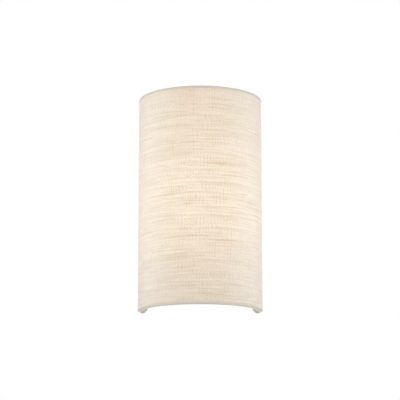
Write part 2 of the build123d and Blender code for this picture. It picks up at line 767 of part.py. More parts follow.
with BuildPart() as bulb_cap:
    with BuildSketch(bulb_plane):
        with BuildLine():
            Polyline(
                (cap_foot_radius, insulator_top),
                (cap_radius, insulator_top + cap_taper),
                (cap_radius, cap_top),
                (cap_radius - cap_thickness, cap_top),
                (cap_radius - cap_thickness, insulator_top + cap_taper),
                (cap_foot_radius - cap_thickness, insulator_top),
                close=True,
            )
        make_face()
    revolve(axis=holder_axis)
save(bulb_cap, "bulb_cap")

with BuildPart() as bulb_housing:
    with BuildSketch(bulb_plane):
        with BuildLine():
            Line((0, insulator_top), (cap_foot_radius - cap_thickness, insulator_top))
            Line(
                (cap_foot_radius - cap_thickness, insulator_top),
                (cap_radius - cap_thickness, insulator_top + cap_taper),
            )
            Line((cap_radius - cap_thickness, insulator_top + cap_taper), (cap_radius - cap_thickness, cap_top))
            Line((cap_radius - cap_thickness, cap_top), (housing_neck_radius, cap_top))
            neck_top = cap_top + housing_neck_height
            waist_radius = (housing_neck_radius + rim_radius) / 2 - housing_waist_inset
            Line((housing_neck_radius, cap_top), (housing_neck_radius, neck_top))
            Spline(
                (housing_neck_radius, neck_top),
                (waist_radius, cap_top + housing_waist_share * housing_height),
                (rim_radius, housing_top),
                tangents=((0, 1), (rim_radius - housing_neck_radius, housing_flare_rise)),
            )
            Line((rim_radius, housing_top), (0, housing_top))
            Line((0, housing_top), (0, insulator_top))
        make_face()
    revolve(axis=holder_axis)
save(bulb_housing, "bulb_housing")

with BuildPart() as led_board:
    board_radius = rim_radius - globe_wall - board_clearance
    with Locations((0, holder_y, bulb_tip_z + housing_top)):
        Cylinder(board_radius, board_thickness, align=(Align.CENTER, Align.CENTER, Align.MIN))
save(led_board, "led_board")

with BuildPart() as bulb_globe:
    inner_radius = globe_radius - globe_wall
    inner_rim = sqrt(inner_radius**2 - (globe_centre - housing_top) ** 2)
    with BuildSketch(bulb_plane):
        with BuildLine():
            ThreePointArc((rim_radius, housing_top), (globe_radius, globe_centre), (0, globe_top))
            Line((0, globe_top), (0, globe_top - globe_wall))
            ThreePointArc((0, globe_top - globe_wall), (inner_radius, globe_centre), (inner_rim, housing_top))
            Line((inner_rim, housing_top), (rim_radius, housing_top))
        make_face()
    revolve(axis=holder_axis)
save(bulb_globe, "bulb_globe")

# ---------------------------------------------------------------- wire bush, terminal block and leads
with BuildPart() as wire_bush:
    bush_front_y = plate_front_y - bush_flange_thickness
    bush_plane = Plane(origin=(0, bush_front_y, bush_z), x_dir=(1, 0, 0), z_dir=(0, 1, 0))
    with BuildSketch(bush_plane):
        Circle(bush_flange_radius)
        Circle(bush_bore_radius, mode=Mode.SUBTRACT)
    extrude(amount=bush_flange_thickness)
    with BuildSketch(bush_plane.offset(bush_flange_thickness)):
        Circle(bush_body_radius)
        Circle(bush_bore_radius, mode=Mode.SUBTRACT)
    extrude(amount=plate_thickness)
    with BuildSketch(bush_plane.offset(bush_flange_thickness + plate_thickness)):
        Circle(bush_body_radius + bush_lock_width)
        Circle(bush_bore_radius, mode=Mode.SUBTRACT)
    extrude(amount=bush_flange_thickness)
    fillet(wire_bush.faces().sort_by(Axis.Y)[0].edges(), radius=small_chamfer)
save(wire_bush, "wire_bush")

with BuildPart() as terminal_block:
    with BuildSketch(Plane.XZ.offset(-block_rear_y)):
        with Locations((0, block_mid_z)):
            RectangleRounded(block_width, block_height, block_corner_radius)
    extrude(amount=block_thickness)
    with BuildSketch(Plane.XZ.offset(-block_rear_y)):
        with Locations([(x, block_mid_z) for x in (-pole_pitch / 2, pole_pitch / 2)]):
            Rectangle(block_groove_width, block_height + cut_margin)
    extrude(amount=block_groove_depth, mode=Mode.SUBTRACT)
    for z, way in ((block_top_z, -1), (block_bottom_z, 1)):
        with BuildSketch(Plane.XY.offset(z)):
            with Locations([(x, block_mid_y) for x in pole_xs]):
                Circle(lead_diameter / 2 + block_wire_clearance)
        extrude(amount=way * (block_height / 2 - block_web), mode=Mode.SUBTRACT)
    with BuildSketch(Plane.XZ.offset(-block_rear_y)):
        with Locations(clamp_points):
            Circle(clamp_screw_diameter / 2 + screw_gap)
    extrude(amount=clamp_screw_height, mode=Mode.SUBTRACT)
    with BuildSketch(Plane.XZ.offset(-block_front_y)):
        with Locations((block_screw_x, block_mid_z)):
            Circle(clamp_screw_diameter / 2 + screw_gap)
    extrude(amount=-block_screw_length, mode=Mode.SUBTRACT)
save(terminal_block, "terminal_block")

with BuildPart() as block_screw:
    seat = Plane(origin=(block_screw_x, plate_front_y, block_mid_z), z_dir=(0, -1, 0))
    with Locations(seat):
        add(pan_screw(clamp_screw_diameter, block_screw_length, block_screw_head))
save(block_screw, "block_screw")

with BuildPart() as clamp_screws:
    with BuildSketch(Plane.XZ.offset(-block_rear_y)):
        with Locations(clamp_points):
            Circle(clamp_screw_diameter / 2)
            Rectangle(clamp_slot_width, clamp_screw_diameter, mode=Mode.SUBTRACT)
    extrude(amount=clamp_slot_depth)
    with BuildSketch(Plane.XZ.offset(-block_rear_y + clamp_slot_depth)):
        with Locations(clamp_points):
            Circle(clamp_screw_diameter / 2)
    extrude(amount=clamp_screw_height - clamp_slot_depth)
save(clamp_screws, "clamp_screws")

def lampholder_lead_route(holder_x, bush_x, pole_x):
    """From the back of the lampholder down behind it, back through the bush and up into the terminal block."""
    holder_back_y = holder_y + holder_base_radius
    hole_z = holder_seat_z + lead_hole_rise
    return (
        (holder_x, holder_back_y - lead_insert, hole_z),
        (holder_x, lead_drop_y, hole_z),
        (bush_x, lead_drop_y, bush_z),
        (bush_x, block_mid_y, bush_z),
        (pole_x, block_mid_y, block_bottom_z - lead_straight),
        (pole_x, block_mid_y, block_bottom_z + lead_insert),
    )


barrel_top_z = tag_z - tag_ring_radius - tag_neck_length
barrel_z = barrel_top_z - tag_barrel_length
barrel_y = plate_inner_y + tag_barrel_radius
earth_route = (
    (pole_xs[2], block_mid_y, block_bottom_z + lead_insert),
    (pole_xs[2], block_mid_y, block_bottom_z - earth_lead_drop),
    (tag_x, barrel_y + earth_lead_offset, block_bottom_z - earth_lead_drop),
    (tag_x, barrel_y, barrel_z + tag_barrel_hole_depth - cut_margin),
)
with BuildPart() as live_lead:
    add(insulated_lead(lampholder_lead_route(lead_hole_xs[0], bush_lead_xs[0], pole_xs[0])))
save(live_lead, "live_lead")

with BuildPart() as neutral_lead:
    add(insulated_lead(lampholder_lead_route(lead_hole_xs[1], bush_lead_xs[1], pole_xs[1])))
save(neutral_lead, "neutral_lead")

with BuildPart() as earth_lead:
    add(insulated_lead(earth_route))
save(earth_lead, "earth_lead")

with BuildPart() as earth_tag:
    with BuildSketch(Plane.XZ.offset(-plate_inner_y - tag_thickness)):
        with Locations((tag_x, tag_z)):
            Circle(tag_ring_radius)
        with Locations((tag_x, (tag_z + barrel_top_z) / 2)):
            Rectangle(tag_neck_width, tag_z - barrel_top_z)
        with Locations((tag_x, tag_z)):
            Circle(tag_hole_radius, mode=Mode.SUBTRACT)
    extrude(amount=tag_thickness)
    with BuildSketch(Plane.XY.offset(barrel_z)):
        with Locations((tag_x, barrel_y)):
            Circle(tag_barrel_radius)
    extrude(amount=tag_barrel_length)
    with BuildSketch(Plane.XY.offset(barrel_z)):
        with Locations((tag_x, barrel_y)):
            Circle(lead_diameter / 2 + tag_lead_clearance)
    extrude(amount=tag_barrel_hole_depth, mode=Mode.SUBTRACT)
save(earth_tag, "earth_tag")

with BuildPart() as plate_earth_screw:
    seat = Plane(origin=(tag_x, plate_inner_y + tag_thickness, tag_z), x_dir=(1, 0, 0), z_dir=(0, 1, 0))
    with Locations(seat):
        add(pan_screw(fixing_screw_diameter, plate_earth_screw_length, fixing_screw_head))
save(plate_earth_screw, "plate_earth_screw")
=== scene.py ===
import math

import bmesh
import bpy
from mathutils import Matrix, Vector


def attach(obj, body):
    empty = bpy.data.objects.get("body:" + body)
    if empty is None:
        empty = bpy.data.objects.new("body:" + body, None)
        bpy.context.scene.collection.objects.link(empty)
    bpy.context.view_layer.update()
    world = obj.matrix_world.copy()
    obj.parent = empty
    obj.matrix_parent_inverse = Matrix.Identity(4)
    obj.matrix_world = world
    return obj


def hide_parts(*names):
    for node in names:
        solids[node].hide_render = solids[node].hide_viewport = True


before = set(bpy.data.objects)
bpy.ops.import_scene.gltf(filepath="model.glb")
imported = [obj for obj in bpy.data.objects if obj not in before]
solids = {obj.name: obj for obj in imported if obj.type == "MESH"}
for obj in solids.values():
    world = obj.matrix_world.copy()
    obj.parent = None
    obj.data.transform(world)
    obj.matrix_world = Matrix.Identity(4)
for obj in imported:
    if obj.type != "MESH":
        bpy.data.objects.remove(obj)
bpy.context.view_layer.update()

# ---------------------------------------------------------------- view and studio
# The light is seen a little from below, as in its picture, in soft even studio light. The floor is far
# below it, because it hangs on a wall that isn't shown.
view_point = (-0.0002, -2.2859, -0.4608)
view_rise = 11.645
lens_length = 145.01
film_width = 36.0
nearest_seen = 0.05
furthest_seen = 50.0

camera_data = bpy.data.cameras.new("view")
camera_data.lens = lens_length
camera_data.sensor_width = film_width
camera_data.clip_start = nearest_seen
camera_data.clip_end = furthest_seen
camera = bpy.data.objects.new("view", camera_data)
camera.location = view_point
camera.rotation_euler = (math.radians(90 + view_rise), 0.0, 0.0)
bpy.context.scene.collection.objects.link(camera)
bpy.context.scene.camera = camera
bpy.context.scene.view_settings.view_transform = "Standard"


class Tone:
    """A socket of a material's nodes. Sums and products of tones add the nodes that work them out."""

    def __init__(self, tree, socket):
        self.tree = tree
        self.socket = socket

    def maths(self, operation, other=None, swapped=False):
        """A Math node's operation on this tone, and on another tone or number where there is one."""
        values = [self] if other is None else [self, other]
        if swapped:
            values.reverse()
        settings = {"operation": operation}
        return node(self.tree, "ShaderNodeMath", settings=settings, sockets=dict(enumerate(values)))

    def __add__(self, other):
        return self.maths("ADD", other)

    __radd__ = __add__

    def __sub__(self, other):
        return self.maths("SUBTRACT", other)

    def __rsub__(self, other):
        return self.maths("SUBTRACT", other, swapped=True)

    def __mul__(self, other):
        return self.maths("MULTIPLY", other)

    __rmul__ = __mul__

    def __truediv__(self, other):
        return self.maths("DIVIDE", other)

    def __rtruediv__(self, other):
        return self.maths("DIVIDE", other, swapped=True)

    def __abs__(self):
        return self.maths("ABSOLUTE")


def node(tree, kind, settings=None, sockets=None, output=0):
    """Adds a node, sets it up, fills or joins its sockets, and gives one of its outputs, if it has any."""
    made = tree.nodes.new(kind)
    for name, value in (settings or {}).items():
        setattr(made, name, value)
    for name, value in (sockets or {}).items():
        fill(tree, made.inputs[name], value)
    return Tone(tree, made.outputs[output]) if made.outputs else None


def fill(tree, socket, value):
    """Joins a tone to the socket, or sets the socket to a number, a colour or a vector."""
    if isinstance(value, Tone):
        tree.links.new(value.socket, socket)
    elif socket.type == "RGBA":
        socket.default_value = (*value, 1.0)
    else:
        socket.default_value = value


def blend(tree, share, first, second):
    """first where share is 0 and second where it is 1, as a colour."""
    sockets = {0: share, 6: first, 7: second}
    return node(tree, "ShaderNodeMix", settings={"data_type": "RGBA"}, sockets=sockets, output=2)


def above(value, start, end):
    """0 below start, 1 above end, and a smooth step between."""
    return node(
        value.tree,
        "ShaderNodeMapRange",
        settings={"interpolation_type": "SMOOTHSTEP"},
        sockets={"Value": value, "From Min": start, "From Max": end, "To Min": 0.0, "To Max": 1.0},
    )


def spot(tree):
    """Where a point is, in metres."""
    return node(tree, "ShaderNodeTexCoord", output="Object")


def distance(tree, centre):
    """How far a point is from this centre, in metres."""
    settings = {"operation": "DISTANCE"}
    return node(tree, "ShaderNodeVectorMath", settings, sockets={0: spot(tree), 1: centre}, output="Value")


def noise(tree, where, scale, detail=2.0, roughness=0.5):
    """Soft noise between 0 and 1, with about scale patches in a metre."""
    sockets = {"Vector": where, "Scale": scale, "Detail": detail, "Roughness": roughness}
    return node(tree, "ShaderNodeTexNoise", sockets=sockets)


def seen_share(tree):
    """1 for what the camera sees, also in metal or through glass, and 0 for what only gives light."""
    share = node(tree, "ShaderNodeLightPath", output="Is Camera Ray")
    for ray in ("Is Transmission Ray", "Is Glossy Ray"):
        share = share.maths("MAXIMUM", node(tree, "ShaderNodeLightPath", output=ray))
    return share


black = (0.0, 0.0, 0.0)
white = (1.0, 1.0, 1.0)
room_grey = (0.70, 0.71, 0.73)

world = bpy.data.worlds.new("studio")
world.use_nodes = True
bpy.context.scene.world = world
world_tree = world.node_tree
world_tree.nodes.clear()
room_colour = blend(world_tree, seen_share(world_tree), room_grey, white)
room_light = node(world_tree, "ShaderNodeBackground", sockets={"Color": room_colour})
node(world_tree, "ShaderNodeOutputWorld", sockets={"Surface": room_light})

for lamp_name, place, size, power in (
    ("key", (-1.2, -1.4, 0.7), 1.2, 10.0),
    ("fill", (1.4, -1.2, 0.2), 1.3, 7.2),
    ("back", (0.3, 1.6, 0.9), 1.2, 10.0),
):
    lamp_data = bpy.data.lights.new(lamp_name, "AREA")
    lamp_data.size = size
    lamp_data.energy = power
    lamp = bpy.data.objects.new(lamp_name, lamp_data)
    lamp.location = place
    lamp.rotation_euler = (-Vector(place)).to_track_quat("-Z", "Y").to_euler()
    bpy.context.scene.collection.objects.link(lamp)

floor_height = -0.95
floor_size = 5.0
floor_sides = ((-1, -1), (1, -1), (1, 1), (-1, 1))
floor_corners = [(across * floor_size, deep * floor_size, floor_height) for across, deep in floor_sides]
floor_mesh = bpy.data.meshes.new("floor")
floor_mesh.from_pydata(floor_corners, [], [(0, 1, 2, 3)])
floor = bpy.data.objects.new("floor", floor_mesh)
bpy.context.scene.collection.objects.link(floor)


def surface(name):
    """A new material, its node tree and its surface shader."""
    material = bpy.data.materials.new(name)
    material.use_nodes = True
    tree = material.node_tree
    shader = next(n for n in tree.nodes if n.type == "BSDF_PRINCIPLED")
    return material, tree, shader


def join(tree, shader, **sockets):
    """Sets or joins the shader's sockets, which are named with _ for a space."""
    for name, value in sockets.items():
        fill(tree, shader.inputs[name.replace("_", " ")], value)


def paint(piece, material):
    """Gives the piece this one material, in its own slots."""
    if piece.type == "MESH" and not piece.data.materials:
        piece.data.materials.append(material)
    for slot in piece.material_slots:
        slot.material = material


# The floor keeps the light's shadow. Where it is seen, it fades into the room's white before its edges.
floor_dull = (0.90, 0.90, 0.90)
floor_pale = (0.94, 0.94, 0.94)
floor_patches = 1.3
light_middle = (0.0, 0.0, 0.0)
fade_span = (1.3, 4.6)

floor_material, tree, shader = surface("studio_floor")
faded = above(distance(tree, light_middle), *fade_span) * seen_share(tree)
floor_colour = blend(tree, noise(tree, spot(tree), floor_patches), floor_dull, floor_pale)
join(
    tree,
    shader,
    Base_Color=blend(tree, faded, floor_colour, black),
    Roughness=0.85,
    Emission_Color=blend(tree, faded, black, white),
    Emission_Strength=1.0,
)
paint(floor, floor_material)

# ---------------------------------------------------------------- linen
# The panel is natural slub linen laminated to a stiff liner, bent round the front and cut with rounded
# rear corners. Thick slubs in the yarns show darker and browner where the bulb lights the cloth from behind.
curve_centre_y = -0.006
panel_rear_y = -0.003
linen_outer = 0.0886
linen_inner = 0.0880
panel_middle = 0.00055
linen_half_height = 0.15455
panel_corner = 0.011
linen_columns = 190
linen_rows = 146
corner_rows = 9
crease_angle = math.radians(50)

quarter_turn = math.pi / 2 * linen_outer
half_width = quarter_turn + panel_rear_y - curve_centre_y


def on_panel(along, height, radius):
    """The point on the panel's curve that is along from its middle, and at that radius."""
    straight = abs(along) - quarter_turn
    if straight > 0:
        return Vector((math.copysign(radius, along), curve_centre_y + straight, height))
    angle = along / linen_outer
    return Vector((radius * math.sin(angle), curve_centre_y - radius * math.cos(angle), height))


def mesh_piece(name, points, faces):
    """A smooth piece from points and faces, with its faces turned outwards."""
    mesh = bpy.data.meshes.new(name)
    mesh.from_pydata(points, [], faces)
    work = bmesh.new()
    work.from_mesh(mesh)
    bmesh.ops.recalc_face_normals(work, faces=work.faces)
    work.to_mesh(mesh)
    work.free()
    mesh.set_sharp_from_angle(angle=crease_angle)
    piece = bpy.data.objects.new(name, mesh)
    bpy.context.scene.collection.objects.link(piece)
    return piece


def thin_sheet(name, face, back):
    """A closed sheet from two matching grids of points."""
    rows = len(face)
    columns = len(face[0])
    points = [point for grid in (face, back) for row in grid for point in row]

    def at(layer, row, column):
        return (layer * rows + row) * columns + column

    faces = []
    for layer in (0, 1):
        for row in range(rows - 1):
            for column in range(columns - 1):
                corners = ((row, column), (row, column + 1), (row + 1, column + 1), (row + 1, column))
                faces.append(tuple(at(layer, *corner) for corner in corners))
    for row in range(rows - 1):
        for column in (0, columns - 1):
            corners = ((0, row), (0, row + 1), (1, row + 1), (1, row))
            faces.append(tuple(at(layer, level, column) for layer, level in corners))
    for column in range(columns - 1):
        for row in (0, rows - 1):
            corners = ((0, column), (0, column + 1), (1, column + 1), (1, column))
            faces.append(tuple(at(layer, row, place) for layer, place in corners))
    return mesh_piece(name, points, faces)


straight_top = linen_half_height - panel_corner
linen_heights = [straight_top * (2 * row / (linen_rows - 1) - 1) for row in range(linen_rows)]
corner_turns = [math.pi / 2 * (step + 1) / corner_rows for step in range(corner_rows)]
corner_heights = [straight_top + panel_corner * math.sin(turn) for turn in corner_turns]
linen_heights = [-height for height in reversed(corner_heights)] + linen_heights + corner_heights


def linen_layer(radius):
    """One face of the panel, as rows of points."""
    layer = []
    for height in linen_heights:
        past = max(0.0, abs(height) - straight_top)
        reach = half_width - panel_corner + math.sqrt(max(0.0, panel_corner**2 - past**2))
        shares = [2 * column / (linen_columns - 1) - 1 for column in range(linen_columns)]
        layer.append([on_panel(reach * share, panel_middle + height, radius) for share in shares])
    return layer


linen_skin = thin_sheet("linen_skin", linen_layer(linen_outer), linen_layer(linen_inner))
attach(linen_skin, "shade")
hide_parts("shade_fabric")


def cloth_place(tree):
    """A point's place on the shade: across, up, forward of the curve's axis, and round the curve."""
    whole = {0: spot(tree)}
    across, deep, high = (node(tree, "ShaderNodeSeparateXYZ", sockets=whole, output=axis) for axis in "XYZ")
    forward = curve_centre_y - deep
    return across, high, forward, across.maths("ARCTAN2", forward) * linen_outer


def yarn_noise(tree, around, high, patch, detail=2.0):
    """Noise on the cloth. patch is how wide and tall its patches are, in metres, and its own seed."""
    wide, tall, seed = patch
    where = node(tree, "ShaderNodeCombineXYZ", sockets={0: around / wide, 1: high / tall, 2: seed})
    return noise(tree, where, 1.0, detail)


def tinted(tree, colour, tint):
    """A colour or a place multiplied by another, or by one number that a tone gives."""
    if isinstance(tint, Tone) and tint.socket.type == "VALUE":
        operation, sockets = "SCALE", {0: colour, "Scale": tint}
    else:
        operation, sockets = "MULTIPLY", {0: colour, 1: tint}
    return node(tree, "ShaderNodeVectorMath", settings={"operation": operation}, sockets=sockets)


def bumps(tree, height, strength, depth):
    """A fine relief of the surface, depth metres deep."""
    return node(tree, "ShaderNodeBump", sockets={"Strength": strength, "Distance": depth, "Height": height})


# The weave: level weft and upright warp yarns, which wander a little.
weft_pitch = 0.00105
warp_pitch = 0.00115
weft_wander, weft_stray = (0.030, 0.012, 3.1), 1.2 * weft_pitch
warp_wander, warp_stray = (0.010, 0.050, 5.7), warp_pitch

linen_material, tree, shader = surface("slub_linen")
across, high, forward, around = cloth_place(tree)
weft_place = high + (yarn_noise(tree, around, high, weft_wander) - 0.5) * weft_stray
warp_place = around + (yarn_noise(tree, around, high, warp_wander) - 0.5) * warp_stray
weft = (weft_place * (math.pi / weft_pitch)).maths("SINE")
warp = (warp_place * (math.pi / warp_pitch)).maths("SINE")
weft_lines = weft * weft
warp_lines = warp * warp

# Slubs are short thick places in the weft. Here and there a thick warp yarn shows as an upright line.
long_slub, long_slub_span = (0.060, 0.0022, 11.3), (0.58, 0.72)
short_slub, short_slub_span = (0.018, 0.0016, 17.9), (0.62, 0.76)
short_slub_strength = 0.7
thick_warp_spacing = 0.0043
thick_warp_span = (0.1, 1.0)
thick_warp_wander, thick_warp_stray = (0.020, 0.030, 5.7), 3 * thick_warp_spacing
thick_warp_patch, thick_warp_patch_span = (0.012, 0.014, 71.0), (0.42, 0.58)
slub_darkness = 0.28
thick_warp_darkness = 0.27
most_darkness = 0.5

short_slubs = above(yarn_noise(tree, around, high, short_slub, 1.0), *short_slub_span)
slubs = above(yarn_noise(tree, around, high, long_slub, 1.0), *long_slub_span)
slubs = (slubs + short_slub_strength * short_slubs).maths("MINIMUM", 1.0)
thick_place = around + (yarn_noise(tree, around, high, thick_warp_wander, 1.0) - 0.5) * thick_warp_stray
thick_warp = above((thick_place * (2 * math.pi / thick_warp_spacing)).maths("COSINE"), *thick_warp_span)
thick_warp = thick_warp * above(yarn_noise(tree, around, high, thick_warp_patch), *thick_warp_patch_span)
dark_yarns = (slub_darkness * slubs + thick_warp_darkness * thick_warp).maths("MINIMUM", most_darkness)

# The yarns' own tones: long and short streaks along the weft, specks and soft clouds, each as its patches,
# their detail and its strength.
plain_tone = 0.67
yarn_tones = (
    ((0.110, 0.0036, 61.0), 1.0, 0.85),
    ((0.035, 0.0024, 23.0), 1.0, 0.65),
    ((0.0022, 0.0014, 83.0), 1.0, 1.0),
    ((0.060, 0.020, 41.0), 2.0, 0.25),
)
linen_brown = (0.56, 0.485, 0.385)
linen_pale = (0.68, 0.62, 0.535)
linen_gaps = (0.45, 0.39, 0.32)
gap_darkness = 0.10

thread_tone = plain_tone - dark_yarns
for patch, detail, strength in yarn_tones:
    thread_tone = thread_tone + strength * (yarn_noise(tree, around, high, patch, detail) - 0.5)
thread_tone = thread_tone.maths("MINIMUM", 1.0).maths("MAXIMUM", 0.0)
cloth_colour = blend(tree, thread_tone, linen_brown, linen_pale)
cloth_colour = blend(tree, gap_darkness * (1 - weft_lines * warp_lines), cloth_colour, linen_gaps)

# The bulb's light through the cloth is painted on as a glow, warmest in front of the bulb. To the sides and
# edges it turns greyer, where a painted grey sheen stands for the studio light on the cloth at a grazing
# angle.
# Each colour is given far from the bulb's height and near it. Thick yarns let less of it through than thin
# ones.
bulb_height = -0.015
glow_fall_up = 0.185
glow_fall_down = 0.105
front_far, front_near = (0.33, 0.190, 0.090), (0.277, 0.210, 0.128)
side_far, side_near = (0.145, 0.150, 0.150), (0.36, 0.305, 0.250)
edge_far, edge_near = (0.105, 0.105, 0.110), (0.33, 0.262, 0.200)
front_thick, front_thin = (0.69, 0.53, 0.26), (1.24, 1.35, 1.59)
side_thick, side_thin = (0.86, 0.84, 0.80), (1.09, 1.11, 1.12)
slub_tint = (1.06, 0.90, 0.66)
yarn_relief, slub_relief, weft_relief = 0.5, 0.9, 0.2
side_span = (0.10, 0.64)
edge_span = (0.58, 0.85)

rise = high - bulb_height
far = rise.maths("MAXIMUM", 0.0) / glow_fall_up - rise.maths("MINIMUM", 0.0) / glow_fall_down
glow = 1.0 / (1.0 + far * far)
sideways = abs(around) / half_width
front_glow = tinted(tree, blend(tree, glow, front_far, front_near), glow)
front_tone = blend(tree, thread_tone, front_thick, front_thin)
front_tone = tinted(tree, front_tone, blend(tree, slubs, white, slub_tint))
edge_share = above(sideways, *edge_span)
# Painted grey sheen at the sides and edges, mixed into the bulb's glow there.
side_glow_and_sheen = blend(tree, glow, side_far, side_near)
side_glow_and_sheen = blend(tree, edge_share, side_glow_and_sheen, blend(tree, glow, edge_far, edge_near))
side_tone = blend(tree, thread_tone, side_thick, side_thin)
side_share = above(sideways, *side_span)
shine = blend(tree, side_share, tinted(tree, front_glow, front_tone), tinted(tree, side_glow_and_sheen, side_tone))

relief = yarn_relief * (0.5 + 0.5 * weft * warp) + slub_relief * slubs + weft_relief * weft_lines
join(
    tree,
    shader,
    Base_Color=cloth_colour,
    Roughness=0.93,
    Specular_IOR_Level=0.2,
    Sheen_Weight=0.15,
    Emission_Color=shine,
    Emission_Strength=1.0,
    Normal=bumps(tree, relief, strength=0.55, depth=0.00022),
)
paint(linen_skin, linen_material)

# ---------------------------------------------------------------- hems
# A strip of the same linen is turned over each rim: outside the panel, under its edge and up behind the
# wire hoop, and glued. It follows the rounded rear corners up to the sleeves.
hem_thickness = 0.0004
hem_outer = linen_outer + hem_thickness
hem_middle = linen_outer + 0.5 * hem_thickness
hem_heights = {"bottom": 0.005, "top": 0.0037}
hem_corner = 0.0114
rim_height = 0.15495
path_step = 0.002
corner_steps = 10
tuck_outer = 0.0840
tuck_inner = tuck_outer - hem_thickness
tuck_height = 0.0065
tuck_taper = 0.3
tuck_wave = 2
tuck_end = 0.75
# The strip's edges are slightly wavy: each wave's size, its rate in radians for a metre, and its shift.
ripples = ((0.00012, 310, 1), (0.00008, 790, 2))
# Points of the strip's section in thicknesses: inward from the fold or the cut edge, and proud of the linen.
folded_edge = ((0.875, 0.0), (0.0, 0.2), (0.0, 0.55), (0.3, 0.875), (1.0, 1.0))
cut_edge = ((-0.5, 1.0), (-0.1, 0.8), (0.0, 0.375), (-0.1, 0.0))


def swept(name, loops, ring=False):
    """A closed piece through loops of as many points each, with flat ends, or as a ring without ends."""
    count = len(loops[0])
    points = [point for loop in loops for point in loop]
    faces = [] if ring else [tuple(range(count)), tuple(range(len(points) - count, len(points)))]
    for row in range(len(loops) if ring else len(loops) - 1):
        here = row * count
        there = (row + 1) % len(loops) * count
        for step in range(count):
            after = (step + 1) % count
            faces.append((here + step, here + after, there + after, there + step))
    return mesh_piece(name, points, faces)


def joined(name, parts):
    """The parts as one piece."""
    work = bmesh.new()
    for part in parts:
        work.from_mesh(part.data)
    mesh = parts[0].data
    work.to_mesh(mesh)
    work.free()
    for part in parts[1:]:
        bpy.data.objects.remove(part)
    mesh.set_sharp_from_angle(angle=crease_angle)
    parts[0].name = name
    return parts[0]


def hem_path():
    """Places along a rim: the middle of each one's arc, and its way from there to the rim and to the end."""
    flat_end = half_width - hem_corner
    corner = []
    for step in range(corner_steps):
        turn = math.pi / 2 * (1 - step / corner_steps)
        corner.append((-flat_end, math.cos(turn), -math.sin(turn)))
    flat_steps = round(2 * flat_end / path_step)
    flat = [(flat_end * (2 * step / flat_steps - 1), 1.0, 0.0) for step in range(flat_steps + 1)]
    return corner + flat + [(-along, to_rim, -to_end) for along, to_rim, to_end in reversed(corner)]


def strip_edge(start, shape):
    """One edge of the strip's section, which starts so far inward of the rim."""
    return [(start + inward * hem_thickness, linen_outer + proud * hem_thickness) for inward, proud in shape]


def hem_loop(place, side, section):
    """The strip's points at a place on the rim, from how far each is inward of the rim and its radius."""
    along, to_rim, to_end = place
    points = []
    for inward, radius in section:
        reach = hem_corner - inward
        level = panel_middle + side * (rim_height - hem_corner + reach * to_rim)
        points.append(on_panel(along + reach * to_end, level, radius))
    return points


def hem(name, side, height):
    """The strip over one rim. side is -1 at the bottom and 1 at the top."""
    outside = []
    inside = []
    for place in hem_path():
        along, to_rim, to_end = place
        run = along + hem_corner * to_end
        ripple = sum(size * math.sin(run * rate + shift * side) for size, rate, shift in ripples)
        edge = height + ripple
        section = [*strip_edge(0.0, folded_edge), (0.5 * edge, hem_outer), *strip_edge(edge, cut_edge)]
        outside.append(hem_loop(place, side, section))
        if abs(to_end) < tuck_end:
            tuck = tuck_height * (1 - tuck_taper * abs(to_end)) + tuck_wave * ripple
            section = [
                (0.25 * hem_thickness, hem_middle),
                (hem_thickness, hem_middle),
                (hem_thickness, tuck_outer),
                (tuck, tuck_outer),
                (tuck, tuck_inner),
                (0.75 * hem_thickness, tuck_inner),
                (0.125 * hem_thickness, tuck_inner + 0.5 * hem_thickness),
                (0.0, tuck_outer + 0.75 * hem_thickness),
                (0.0, linen_outer),
            ]
            inside.append(hem_loop(place, side, section))
    return joined(name, [swept(name, outside), swept(name + "_turn", inside)])


trim_slub, trim_slub_span = (0.016, 0.0011, 7.7), (0.56, 0.74)
trim_cloud, trim_cloud_span = (0.020, 0.004, 9.9), (0.35, 0.70)
trim_plain = (0.61, 0.545, 0.46)
trim_brown, brown_share = (0.49, 0.41, 0.32), 0.45
trim_pale, pale_share = (0.67, 0.61, 0.53), 0.40
trim_gaps, gaps_share = (0.40, 0.34, 0.27), 0.12
# Painted shade: the cloth turns darker and greyer under the rolled rim.
rim_shade_grey, rim_shade_strength = (0.36, 0.33, 0.29), 0.25
trim_slub_relief = 0.6


def trim_cloth(tree, shader, along, over, rim_shade_share, shine):
    """Folded linen with slubs along it. Where the rim share is 1 it is painted darker and greyer, as shade
    under the rolled rim, and shine is painted light on it.
    """
    trim_weft = (over * (math.pi / weft_pitch)).maths("SINE")
    trim_warp = (along * (math.pi / warp_pitch)).maths("SINE")
    trim_slubs = above(yarn_noise(tree, along, over, trim_slub), *trim_slub_span)
    trim_clouds = above(yarn_noise(tree, along, over, trim_cloud), *trim_cloud_span)
    colour = blend(tree, brown_share * trim_slubs, trim_plain, trim_brown)
    colour = blend(tree, pale_share * trim_clouds, colour, trim_pale)
    colour = blend(tree, gaps_share * (1 - trim_weft * trim_weft), colour, trim_gaps)
    relief = 0.5 + 0.5 * trim_weft * trim_warp + trim_slub_relief * trim_slubs
    # Towards the rim the colour is painted darker and greyer, as shade under the rolled edge.
    join(
        tree,
        shader,
        Base_Color=blend(tree, rim_shade_strength * rim_shade_share, colour, rim_shade_grey),
        Roughness=0.92,
        Specular_IOR_Level=0.2,
        Sheen_Weight=0.08,
        Emission_Color=shine,
        Emission_Strength=1.0,
        Normal=bumps(tree, relief, strength=0.5, depth=0.0002),
    )


# Where the strip is folded over the rim, little of the bulb's light comes through, least of all in the
# middle, and the cloth there is painted darker and greyer as shade under the roll. More comes through at the
# shoulders, towards the ends and where the strip is turned in, and towards the ends a pale grey painted
# light lifts the strip.
rim_span = (rim_height - 0.0055, rim_height + 0.0004)
shoulder_span, shoulder_lift = (0.04, 0.34), 0.40
beyond_span, beyond_drop = (0.55, 0.88), 0.45
turned_span, turned_lift = (hem_thickness, 0.0030), 0.5
middle_light = (0.120, 0.088, 0.060)
shoulder_light, shoulder_light_span = (0.200, 0.185, 0.168), (0.2, 0.6)
end_light, end_light_span = (0.25, 0.245, 0.240), (0.5, 0.85)

